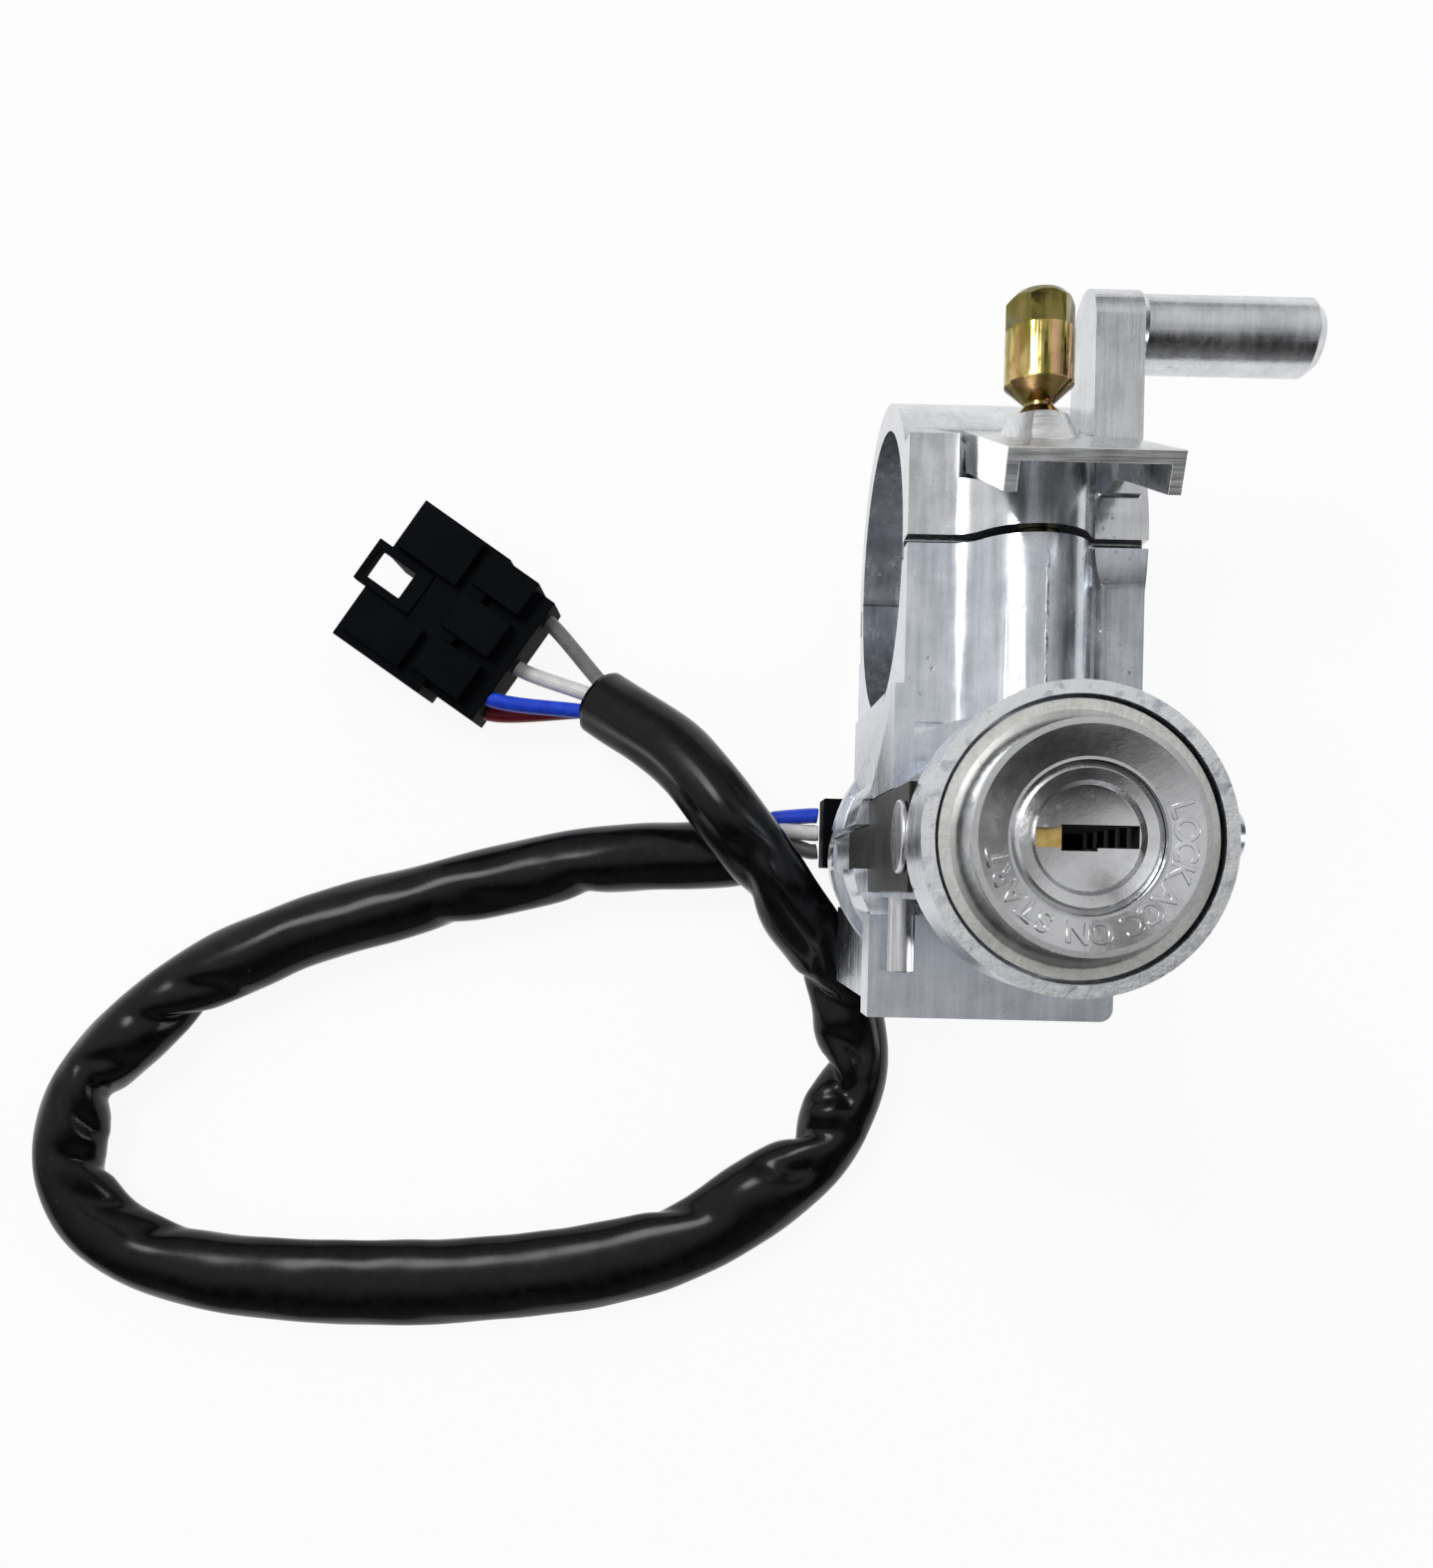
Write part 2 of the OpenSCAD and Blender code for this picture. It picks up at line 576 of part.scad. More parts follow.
module cam_shaft() color([0.7, 0.71, 0.73]) at_lock() difference() {
    union() {
        translate([0, 0, rear - 5]) cylinder(r = shaft_r, h = chamber_z - rear + 5 + e);
        translate([0, 0, chamber_z + 0.3]) cylinder(r = head_r, h = shaft_front - chamber_z - 0.3);
        translate([0, 0, chamber_z - e]) cylinder(r = shaft_r, h = 1);
    }
    // slot for the plug tang
    box([-4.5, -1.6, plug_back - 4.3], [4.5, 1.6, shaft_front + 1]);
    // flats that drive the rotor
    for (s = [-1, 1]) translate([0, s * (shaft_r - flat_depth + 5), rear - 6])
        cube([20, 10, 12 - 1.6], center = true);
    // clip groove
    translate([0, 0, clip_z - 0.05]) difference() {
        cylinder(r = 20, h = clip_t + 0.1);
        translate([0, 0, -1]) cylinder(r = clip_r, h = 4);
    }
}

// collar with the lobe that works the lock bolt
module release_cam() color([0.66, 0.67, 0.69]) at_lock() difference() {
    union() {
        translate([0, 0, -yoke_t / 2]) cylinder(r = shaft_r + 0.9, h = yoke_t);
        intersection() {
            translate([0, 0, -yoke_t / 2]) cylinder(r = lobe_r, h = yoke_t);
            box([-2.5, 0, -yoke_t], [2.5, 20, yoke_t]);
        }
    }
    translate([0, 0, -yoke_t]) cylinder(r = shaft_r + 0.02, h = 2 * yoke_t);
}

module shaft_clip() color([0.45, 0.46, 0.48]) at_lock() translate([0, 0, clip_z]) difference() {
    cylinder(r = shaft_r + 1, h = clip_t);
    translate([0, 0, -1]) cylinder(r = clip_r + 0.02, h = 3);
    box([0, -clip_r * 0.7, -1], [20, clip_r * 0.7, 3]);
}

module lock_bolt() color([0.6, 0.61, 0.64]) at_lock() difference() {
    union() {
        box([-lock_w / 2, win_top, -lock_t / 2], [lock_w / 2, lock_drop - bore_r - lock_sunk, lock_t / 2]);
        box([-yoke_out, -win_bot - yoke_bar, -yoke_t / 2], [yoke_out, win_top + 2, yoke_t / 2]);
    }
    box([-yoke_in, -win_bot, -yoke_t], [yoke_in, win_top, yoke_t]);
}

// coil in its rest length, closed flat by two end rings
module bolt_spring() color([0.5, 0.51, 0.53]) translate([lock_x, spring_floor + 0.1, 0]) rotate([-90, 0, 0]) {
    w = 0.35;
    n = 3;
    tube_along([for (k = [0 : 24 * n]) let (a = 15 * k)
        [2 * cos(a), 2 * sin(a), w + (spring_l - 0.2 - 2 * w) * k / (24 * n)]], w, 6);
}

module spring_cap() color([0.55, 0.56, 0.58]) at_lock()
    box([-yoke_out - yoke_clear + 0.02, -foot_drop, -lock_t / 2 - slide_clear + 0.02],
        [yoke_out + yoke_clear - 0.02, -foot_drop + cap_t, lock_t / 2 + slide_clear - 0.02]);

module side_plate() color([0.4, 0.39, 0.38]) at_lock() difference() {
    union() {
        box([-pad_x, -5.3, plate_step], [-pad_x + plate_t, plate_up, nose_back - nose_cone - 0.2]);
        box([-pad_x, -2.4, flange_z - 6], [-pad_x + plate_t, tail_up, plate_step + e]);
    }
    translate([0, 0.4, rivet_z]) x_cyl(2, -pad_x - 1, -pad_x + 5);
}

module side_rivet() color([0.68, 0.69, 0.71]) at_lock() translate([0, 0.4, rivet_z]) {
    x_cyl(1.98, -pad_x - e, -sleeve_d / 2 + 0.95);
    x_cyl(3.8, -pad_x - 0.8, -pad_x);
}

module roll_pin() color([0.7, 0.7, 0.7]) at_lock() translate([-pad_x + 2.9, 0, roll_z]) difference() {
    y_cyl(1.58, -14.7, -2.2);
    y_cyl(0.9, -20, 0);
}

module ear_plan() {
    circle(r = sw_r);
    for (a = screw_a) rotate(a) {
        translate([screw_c, 0]) circle(r = 3, $fn = 32);
        translate([0, -3]) square([screw_c, 6]);
    }
}

module switch_case() color([0.07, 0.07, 0.07]) at_lock() difference() {
    union() {
        translate([0, 0, sw_back]) cylinder(r = sw_r, h = rear - sw_back);
        translate([0, 0, rear - 3]) linear_extrude(height = 3) ear_plan();
        translate([0, 0, rear - e]) cylinder(r = 8, h = 1.8);
        box([outlet_x - lock_x, outlet_y - lock_y - outlet_half, sw_back],
            [-sw_r + 4, outlet_y - lock_y + outlet_half, lead_z + 5]);
    }
    translate([0, 0, sw_back - 1]) cylinder(r = sw_r - switch_wall, h = rear - 1.2 - sw_back + 1);
    translate([0, 0, rear - 4]) cylinder(r = shaft_r + 0.4, h = 8);
    for (a = screw_a) rotate(a) translate([screw_c, 0, rear - 5]) cylinder(r = 1.5, h = 6);
}

module switch_cover() color([0.1, 0.1, 0.1]) at_lock() difference() {
    union() {
        translate([0, 0, floor_z]) cylinder(r = sw_r, h = cover_t - 0.02);
        translate([0, 0, floor_z + 1]) cylinder(r = sw_r - switch_wall - 0.05, h = 4.5);
    }
    for (a = contact_a) rotate(a) translate([contact_r, 0, contact_low])
        cylinder(d = contact_d + 0.04, h = far);
}

module fixed_contacts() color([0.82, 0.6, 0.3]) at_lock()
    for (a = contact_a) rotate(a) translate([contact_r, 0, contact_low])
        cylinder(d = contact_d, h = contact_top - contact_low, $fn = 24);

module switch_rotor() color([0.85, 0.82, 0.72]) at_lock() difference() {
    translate([0, 0, rotor_back]) cylinder(r = sw_r - switch_wall - 0.4, h = rotor_t);
    difference() {
        translate([0, 0, rotor_back - 1]) cylinder(r = shaft_r + 0.02, h = rotor_t + 2);
        for (s = [-1, 1]) translate([0, s * (shaft_r - flat_depth + 5.02), rotor_z])
            cube([20, 10, 20], center = true);
    }
}

module contact_bridge() color([0.85, 0.55, 0.35]) at_lock() difference() {
    translate([0, 0, rotor_back - bridge_t]) cylinder(r = contact_r + 1.6, h = bridge_t);
    translate([0, 0, rotor_back - 2]) cylinder(r = shaft_r + 0.1, h = 4);
    box([-10, 0, rotor_back - 2], [10, 10, rotor_back + 2]);
}

module switch_screws() color([0.6, 0.6, 0.62]) at_lock()
    for (a = screw_a) rotate(a) translate([screw_c, 0, 0]) {
    translate([0, 0, rear - 3 - 1.8]) cylinder(r = 2.5, h = 1.8, $fn = 32);
    translate([0, 0, rear - 3 - e]) cylinder(r = 1.23, h = 3 + 4, $fn = 32);
}

sheath_pts = [for (q = smooth(route, 3)) [q[0], q[1], table_z + q[2]]];
module harness_sheath() color([0.05, 0.05, 0.05]) tube_along(sheath_pts, sheath_r, 12);

// places of the four leads in the bundle, across and up
spots = [[2.5, 0.9], [0.3, -2.7], [-2.5, 0.8], [0, 2.5]];
// places of the four leads on the back of the connector, across and up
slots = [[-7, 9.6], [-9, 4.2], [-0.2, 6], [9.6, 7]];
end_gap = 0.7;
function across(d) = unit(cross([0, 0, 1], d));
function conn_pt(a, b) = [conn_c[0] + a * cos(conn_a) - b * sin(conn_a),
    conn_c[1] + a * sin(conn_a) + b * cos(conn_a)];
s_dir = unit(sheath_pts[1] - sheath_pts[0]);
e_dir = unit(sheath_pts[len(sheath_pts) - 1] - sheath_pts[len(sheath_pts) - 2]);
s_end = sheath_pts[0];
f_end = sheath_pts[len(sheath_pts) - 1];
module lead(i, j) {
    u = spots[i][0];
    h = spots[i][1];
    a = [outlet_x - end_gap, outlet_y + 1.25 * u, lead_z + h];
    b = s_end - u * across(s_dir) + [0, 0, h] - end_gap * s_dir;
    tube_along(smooth([a, a + [-1.5, 0, 0], b - 1.5 * s_dir, b], 3), lead_r, 8);
    c = f_end + u * across(e_dir) + h * cross(e_dir, across(e_dir)) + end_gap * e_dir;
    q = conn_pt(conn_l / 2 + end_gap, slots[j][0]);
    d = [q[0], q[1], floor_z + slots[j][1]];
    w = [cos(conn_a), sin(conn_a), 0];
    tube_along(smooth([c, c + 3 * e_dir, d + 4 * w, d], 4), lead_r, 8);
}
module wire_blue() color([0.1, 0.2, 0.9]) lead(0, 0);
module wire_red() color([0.7, 0.08, 0.15]) lead(1, 1);
module wire_white() color([0.9, 0.9, 0.9]) lead(3, 2);
module wire_grey() color([0.5, 0.5, 0.5]) lead(2, 3);

// connector in its own frame: +X toward the leads, Z up from the table
module in_conn() translate([conn_c[0], conn_c[1], floor_z]) rotate(conn_a) children();

module connector_housing() color([0.06, 0.06, 0.06]) in_conn() difference() {
    union() {
        box([-conn_l / 2, -conn_w / 2, 0], [conn_l / 2 - 10, conn_w / 2, conn_h - 1.6]);
        box([conn_l / 2 - 12, -conn_w / 2 + 1.5, 0.6], [conn_l / 2, conn_w / 2 - 1.5, conn_h - 3.2]);
        // raised pads: two at the mouth, three over the leads
        for (b = [[-12.4, -4.6], [4.6, 13.4]]) box([-conn_l / 2 + 0.8, b[0], 1], [-0.9, b[1], conn_h]);
        for (b = [[-11, -3.9], [-2.2, 5], [6.7, 13.4]])
            box([0.7, b[0], 1], [conn_l / 2 - 3.5, b[1], conn_h - 0.6]);
        // locking loop
        box([-conn_l / 2 - 2.5, -4.1, conn_h - 4], [-conn_l / 2 + 9, 4.1, conn_h - 1.2]);
    }
    // window of the loop, open right through
    box([-conn_l / 2 - 1.3, -2.6, -1], [-conn_l / 2 + 6, 2.6, 40]);
    // terminal cavities
    for (q = slots) translate([0, q[0], q[1]])
        box([abs(q[0]) < 4 ? -conn_l / 2 + 8 : -conn_l / 2 - 1, -1.8, -2.2], [conn_l / 2 - 4, 1.8, 2.2]);
}

module connector_terminals() color([0.8, 0.65, 0.35]) in_conn()
    for (q = slots) translate([0, q[0], q[1]])
        box([-conn_l / 2 + 9, -1.7, -0.8], [conn_l / 2 - 4.05, 1.7, 0.8]);

lock_housing();
clamp_cap();
clamp_bracket();
shear_bolt();
cylinder_case();
side_plate();
side_rivet();
roll_pin();
key_plug();
cam_shaft();
release_cam();
shaft_clip();
wafer_1();
wafer_2();
wafer_3();
wafer_4();
wafer_5();
lock_bolt();
bolt_spring();
spring_cap();
switch_case();
switch_rotor();
contact_bridge();
fixed_contacts();
switch_cover();
switch_screws();
harness_sheath();
wire_blue();
wire_white();
wire_red();
wire_grey();
connector_housing();
connector_terminals();
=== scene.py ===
"""Ignition switch with steering lock, clamp and harness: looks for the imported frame."""
import math
import bmesh
import bpy
from mathutils import Matrix, Vector, noise
from mathutils.geometry import interpolate_bezier


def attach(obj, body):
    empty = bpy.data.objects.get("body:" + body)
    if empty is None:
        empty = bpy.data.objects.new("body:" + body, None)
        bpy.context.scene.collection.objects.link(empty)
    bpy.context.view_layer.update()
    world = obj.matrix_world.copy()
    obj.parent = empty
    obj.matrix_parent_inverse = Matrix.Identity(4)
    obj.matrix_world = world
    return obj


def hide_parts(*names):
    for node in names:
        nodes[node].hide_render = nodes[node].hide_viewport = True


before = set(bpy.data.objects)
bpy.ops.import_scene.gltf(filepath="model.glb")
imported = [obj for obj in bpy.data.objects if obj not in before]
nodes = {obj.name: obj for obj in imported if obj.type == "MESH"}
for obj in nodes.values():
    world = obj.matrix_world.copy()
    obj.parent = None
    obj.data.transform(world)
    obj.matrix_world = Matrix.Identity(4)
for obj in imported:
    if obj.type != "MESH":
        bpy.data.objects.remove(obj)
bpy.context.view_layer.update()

MM = 0.001
FLOOR_Z = -26 * MM
LOCK_X = -10.3 * MM
LOCK_Y = -45.9 * MM
FACE_Z = 92.5 * MM
RIM_Z = 89 * MM
PARTING_Y = -0.6 * MM
SHANK_TOP = 4 * MM
NECK_TOP = 17.3 * MM
COLLAR_FOOT = 19.9 * MM
HEX_FOOT = 27.3 * MM
# the boss's flash line fades in and out over these heights
FLASH_FOOT = (-26 * MM, -23 * MM)
FLASH_TOP = (-7 * MM, -3 * MM)
FLASH_FRONT = (18 * MM, 22 * MM)
# corners closer than these are one
CAD_MERGE = 0.004 * MM
SEAM_MERGE = 0.002 * MM


# shader wiring
class Wire:
    """A shader output that Python arithmetic turns into Math nodes."""

    def __init__(self, tree, socket):
        self.tree = tree
        self.socket = socket

    def math(self, operation, *values):
        node = self.tree.nodes.new("ShaderNodeMath")
        node.operation = operation
        for socket, value in zip(node.inputs, values):
            plug(self.tree, socket, value)
        return Wire(self.tree, node.outputs[0])

    def __add__(self, other):
        return self.math("ADD", self, other)

    def __radd__(self, other):
        return self.math("ADD", other, self)

    def __sub__(self, other):
        return self.math("SUBTRACT", self, other)

    def __rsub__(self, other):
        return self.math("SUBTRACT", other, self)

    def __mul__(self, other):
        return self.math("MULTIPLY", self, other)

    def __rmul__(self, other):
        return self.math("MULTIPLY", other, self)

    def step(self, low, high):
        """0 below low, 1 above high, smooth between."""
        node = self.tree.nodes.new("ShaderNodeMapRange")
        node.interpolation_type = "SMOOTHSTEP"
        plug(self.tree, node.inputs["Value"], self)
        node.inputs["From Min"].default_value = low
        node.inputs["From Max"].default_value = high
        return Wire(self.tree, node.outputs["Result"])


def plug(tree, socket, value):
    if isinstance(value, Wire):
        tree.links.new(value.socket, socket)
    else:
        socket.default_value = value


class Finish:
    """One material: a Principled shader and the textures that feed it."""

    def __init__(self, name, **constants):
        self.material = bpy.data.materials.new(name)
        self.material.use_nodes = True
        self.tree = self.material.node_tree
        self.shader = self.tree.nodes["Principled BSDF"]
        place = self.tree.nodes.new("ShaderNodeTexCoord")
        self.place = Wire(self.tree, place.outputs["Object"])
        for key, value in constants.items():
            self.feed(key.replace("_", " ").title().replace("Ior", "IOR"), value)

    def node(self, kind, settings, sockets, output=0):
        node = self.tree.nodes.new(kind)
        for key, value in settings.items():
            setattr(node, key, value)
        for key, value in sockets.items():
            plug(self.tree, node.inputs[key], value)
        return Wire(self.tree, node.outputs[output])

    def feed(self, socket, value):
        plug(self.tree, self.shader.inputs[socket], value)

    def stretched(self, scale):
        return self.node("ShaderNodeMapping", {}, {"Vector": self.place, "Scale": scale})

    def noise(self, scale, detail=3.0, roughness=0.5, place=None, distortion=0.0):
        return self.node("ShaderNodeTexNoise", {}, {
            "Vector": place or self.place, "Scale": scale, "Detail": detail,
            "Roughness": roughness, "Distortion": distortion}, "Fac")

    def cells(self, scale):
        return self.node("ShaderNodeTexVoronoi", {}, {"Vector": self.place, "Scale": scale}, "Distance")

    def axis(self, name):
        return self.node("ShaderNodeSeparateXYZ", {}, {"Vector": self.place}, name)

    def tint(self, factor, low, high):
        return self.over(factor, (*low, 1), high)

    def over(self, factor, under, colour):
        return self.node("ShaderNodeMix", {"data_type": "RGBA"}, {0: factor, 6: under, 7: (*colour, 1)}, 2)

    def bump(self, height, strength, distance, under=None):
        sockets = {"Height": height, "Strength": strength, "Distance": distance}
        if under:
            sockets["Normal"] = under
        return self.node("ShaderNodeBump", {}, sockets)


# metals
def cast_metal(name, dark, light, rough_low, rough_high, pits=0.5, streak=(900, 60, 900), chips_from=None,
               shade_axis="Y", shade_below=None, hollow=0, flash_x=None):
    """Bright die casting: mottled, streaked and pitted; optionally a chipped rim, a flash line, and painted
    shade below a height along one axis.
    """
    finish = Finish(name, metallic=1.0)
    mottle = finish.noise(160, 5, 0.6)
    streaks = finish.noise(1, 4, 0.65, finish.stretched(streak))
    skin = finish.noise(2600, 2, 0.5)
    specks = 1 - finish.cells(520).step(0.08, 0.2)
    spots = specks * finish.noise(90, 2).step(0.5, 0.68)
    tone = finish.tint((mottle * 0.55 + streaks * 0.45).step(0.25, 0.75), dark, light)
    tone = finish.over(spots * pits, tone, tuple(0.35 * c for c in dark))
    wear = (0.5 * mottle + 0.5 * streaks).step(0.25, 0.75)
    finish.feed("Roughness", rough_low + (rough_high - rough_low) * wear + spots * 0.2)
    grain = finish.bump(skin, 0.04, 0.0002)
    waves = finish.bump(streaks + 0.6 * mottle, 0.035, 0.0008, grain)
    skin_normal = finish.bump(1 - spots, 0.4 * pits, 0.0003, waves)
    if hollow:
        x, y = finish.axis("X") - LOCK_X, finish.axis("Y") - LOCK_Y
        skin_normal = finish.bump((x * x + y * y) * hollow, 1.0, 1.0, skin_normal)
    if chips_from:
        rim = finish.axis("Z").step(chips_from, chips_from + 0.4 * MM)
        skin_normal = finish.bump(finish.noise(520, 4, 0.7) * rim, 0.12, 0.0006, skin_normal)
        tone = finish.over(rim * finish.noise(700, 3).step(0.32, 0.5) * 0.85, tone, (0.91, 0.92, 0.93))
    if flash_x:
        aside = finish.axis("X") - flash_x
        line = 1 - aside.math("ABSOLUTE", aside).step(0.05 * MM, 0.28 * MM)
        reach = finish.axis("Y").step(*FLASH_FOOT) * (1 - finish.axis("Y").step(*FLASH_TOP))
        front = finish.axis("Z").step(*FLASH_FRONT)
        flakes = finish.noise(1, 4, 0.7, finish.stretched((1500, 420, 1500))).step(0.46, 0.60)
        flash = line * reach * front * flakes
        tone = finish.over(flash * 0.8, tone, (0.10, 0.105, 0.12))
        skin_normal = finish.bump(flash, 0.35, 0.0003, skin_normal)
    # painted shade: below this height the surface is painted near black and made non-metallic
    if shade_below:
        painted_shade = 1 - finish.axis(shade_axis).step(shade_below - 0.1 * MM, shade_below)
        tone = finish.over(painted_shade * 0.98, tone, (0.01, 0.01, 0.01))
        finish.feed("Metallic", 1 - painted_shade)
    finish.feed("Base Color", tone)
    finish.feed("Normal", skin_normal)
    return finish.material


def sheet_steel(name, dark, light, rough_low, rough_high, grain=0.12, stretch=(2600, 90, 700)):
    """Rolled sheet: fine lines one way, faint stains."""
    finish = Finish(name, metallic=1.0)
    lines = finish.noise(1, 3, 0.6, finish.stretched(stretch))
    stains = finish.noise(140, 4, 0.6)
    finish.feed("Base Color", finish.tint((0.6 * lines + 0.4 * stains).step(0.3, 0.7), dark, light))
    wear = (0.5 * lines + 0.5 * stains).step(0.3, 0.7)
    finish.feed("Roughness", rough_low + (rough_high - rough_low) * wear)
    finish.feed("Normal", finish.bump(lines, grain, 0.0002))
    return finish.material


def yellow_zinc(name):
    """Yellow chromate over zinc: gold with green and pink bands, an olive hexagon darkened as painted dark
    reflection, a brown taper as painted shade and a shank painted near black as shade.
    """
    finish = Finish(name, metallic=1.0)
    patches = finish.noise(230, 2, 0.5, distortion=0.6)
    bands = finish.noise(1, 2, 0.5, finish.stretched((620, 70, 620)))
    gold = finish.tint(patches.step(0.35, 0.62), (0.34, 0.24, 0.06), (0.66, 0.50, 0.19))
    green = finish.over(bands.step(0.50, 0.62) * 0.8, gold, (0.20, 0.21, 0.035))
    pink = finish.over((1 - bands.step(0.34, 0.44)) * 0.45, green, (0.78, 0.42, 0.33))
    along = finish.axis("Y")
    # painted dark reflection: the hexagon above its foot is painted dark olive
    hex_dark_reflection = along.step(HEX_FOOT - 0.1 * MM, HEX_FOOT + 0.1 * MM)
    olive = finish.over(hex_dark_reflection * 0.75, pink, (0.10, 0.095, 0.02))
    # painted shade: the taper between the neck and the collar is painted darker brown
    taper_shade = along.step(NECK_TOP - 0.6 * MM, NECK_TOP) * (1 - along.step(COLLAR_FOOT - 0.2 * MM, COLLAR_FOOT))
    brown = finish.over(taper_shade * 0.7, olive, (0.10, 0.06, 0.02))
    # painted shade: the shank below its top is painted near black
    shank_shade = 1 - along.step(SHANK_TOP - 0.5 * MM, SHANK_TOP)
    finish.feed("Base Color", finish.over(shank_shade * 0.96, brown, (0.03, 0.025, 0.015)))
    finish.feed("Roughness", 0.10 + 0.12 * finish.noise(700, 4).step(0.3, 0.7))
    finish.feed("Normal", finish.bump(finish.noise(900, 3), 0.06, 0.0003))
    return finish.material


def brass(name):
    finish = Finish(name, metallic=1.0)
    worn = finish.noise(900, 4, 0.6)
    finish.feed("Base Color", finish.tint(worn.step(0.3, 0.7), (0.58, 0.38, 0.11), (0.86, 0.64, 0.25)))
    finish.feed("Roughness", 0.2 + 0.25 * worn)
    finish.feed("Normal", finish.bump(worn, 0.1, 0.0002))
    return finish.material


def frosted_metal(name):
    """Blasted zinc: pale, grainy, dull."""
    finish = Finish(name, metallic=1.0)
    grain = finish.noise(2400, 3, 0.7)
    warm = finish.noise(150, 3, 0.6)
    finish.feed("Base Color", finish.tint((0.5 * grain + 0.5 * warm).step(0.32, 0.68), (0.60, 0.60, 0.57),
                                          (0.84, 0.84, 0.82)))
    finish.feed("Roughness", 0.42 + 0.2 * grain)
    finish.feed("Normal", finish.bump(grain, 0.22, 0.0002))
    return finish.material


# plastics
def vinyl(name, colour, shade, gloss, shine=0.4):
    """Soft vinyl of a sleeve or a lead, with a faint extruded skin."""
    finish = Finish(name, specular_ior_level=shine)
    skin = finish.noise(420, 4, 0.6)
    dust = finish.noise(900, 2).step(0.72, 0.82)
    finish.feed("Base Color", finish.over(dust * 0.06, finish.tint(skin.step(0.3, 0.7), shade, colour),
                                          (0.75, 0.75, 0.74)))
    finish.feed("Roughness", gloss + 0.14 * skin)
    finish.feed("Normal", finish.bump(skin, 0.05, 0.0003))
    return finish.material


def moulded(name, colour, shade, rough):
    """Moulded plastic with a fine spark texture and dusty patches."""
    finish = Finish(name, specular_ior_level=0.03)
    spark = finish.noise(2200, 2, 0.6)
    patches = finish.noise(110, 4, 0.6)
    finish.feed("Base Color", finish.tint((0.7 * patches + 0.3 * spark).step(0.3, 0.7), shade, colour))
    finish.feed("Roughness", rough + 0.16 * patches)
    finish.feed("Normal", finish.bump(spark, 0.10, 0.0002))
    return finish.material


EVEN = (400, 400, 400)
CAST = cast_metal("cast_zinc", (0.44, 0.47, 0.52), (0.77, 0.80, 0.855), 0.18, 0.32,
                  chips_from=RIM_Z - 0.6 * MM, flash_x=1.0 * MM)
# painted shade: the cap below the parting line is painted near black
CAST_CAP = cast_metal("cast_cap", (0.50, 0.51, 0.53), (0.80, 0.81, 0.83), 0.18, 0.32, 0.35,
                      shade_below=PARTING_Y - 0.1 * MM)
BEZEL = cast_metal("bezel_zinc", (0.52, 0.525, 0.535), (0.68, 0.685, 0.695), 0.17, 0.25, 0, EVEN)
# painted shade: the plug deeper than 1.6 mm below its face, inside the keyway, is painted near black
PLUG_FACE = cast_metal("plug_zinc", (0.54, 0.545, 0.555), (0.72, 0.725, 0.735), 0.20, 0.30, 0, EVEN,
                       shade_axis="Z", shade_below=FACE_Z - 1.6 * MM, hollow=26)
FROSTED = frosted_metal("frosted_zinc")
SHEET = sheet_steel("bright_sheet", (0.56, 0.57, 0.58), (0.80, 0.81, 0.82), 0.16, 0.34)
CUT_EDGE = sheet_steel("cut_edge", (0.66, 0.67, 0.68), (0.94, 0.94, 0.94), 0.30, 0.5, 0.3, (90, 2600, 2600))
DARK_PLATE = sheet_steel("dark_plate", (0.022, 0.020, 0.019), (0.055, 0.051, 0.049), 0.34, 0.5, 0.25)
STEEL = sheet_steel("plain_steel", (0.48, 0.48, 0.50), (0.72, 0.72, 0.74), 0.22, 0.36)
YELLOW = yellow_zinc("yellow_zinc")
BRASS = brass("brass")
BLACK = moulded("black_plastic", (0.0035, 0.0042, 0.006), (0.0018, 0.0022, 0.003), 0.55)
PALE = moulded("pale_plastic", (0.74, 0.70, 0.58), (0.64, 0.60, 0.50), 0.45)
SHEATH = vinyl("sheath_vinyl", (0.005, 0.005, 0.0054), (0.002, 0.002, 0.0024), 0.14, 0.23)
BLUE = vinyl("blue_vinyl", (0.018, 0.085, 0.84), (0.010, 0.05, 0.60), 0.28)
WHITE = vinyl("white_vinyl", (0.82, 0.81, 0.80), (0.68, 0.67, 0.66), 0.30)
RED = vinyl("red_vinyl", (0.32, 0.010, 0.028), (0.20, 0.006, 0.016), 0.32)
GREY = vinyl("grey_vinyl", (0.22, 0.22, 0.22), (0.15, 0.15, 0.155), 0.32)


# camera, straight above the bezel side of the object
CAMERA_AT = (-45.6 * MM, -51.2 * MM, 207.4 * MM)
CAMERA_ROLL = math.radians(1.3)
SENSOR_MM = 36
FOCAL_PX = 1287
PHOTO_HEIGHT_PX = 1574
camera_data = bpy.data.cameras.new("camera")
camera_data.sensor_width = SENSOR_MM
camera_data.lens = SENSOR_MM * FOCAL_PX / PHOTO_HEIGHT_PX
camera_data.shift_x = 0.0121
camera_data.shift_y = 0.0661
camera_data.clip_start = 0.005
camera = bpy.data.objects.new("camera", camera_data)
camera.location = CAMERA_AT
camera.rotation_euler = (0, 0, CAMERA_ROLL)
bpy.context.scene.collection.objects.link(camera)
bpy.context.scene.camera = camera


# mesh making
def add(name, mesh, material, body="lock"):
    obj = bpy.data.objects.new(name, mesh)
    bpy.context.scene.collection.objects.link(obj)
    mesh.materials.clear()
    mesh.materials.append(material)
    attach(obj, body)
    return obj


def from_bmesh(name, bm):
    mesh = bpy.data.meshes.new(name)
    bm.to_mesh(mesh)
    bm.free()
    for face in mesh.polygons:
        face.use_smooth = True
    return mesh


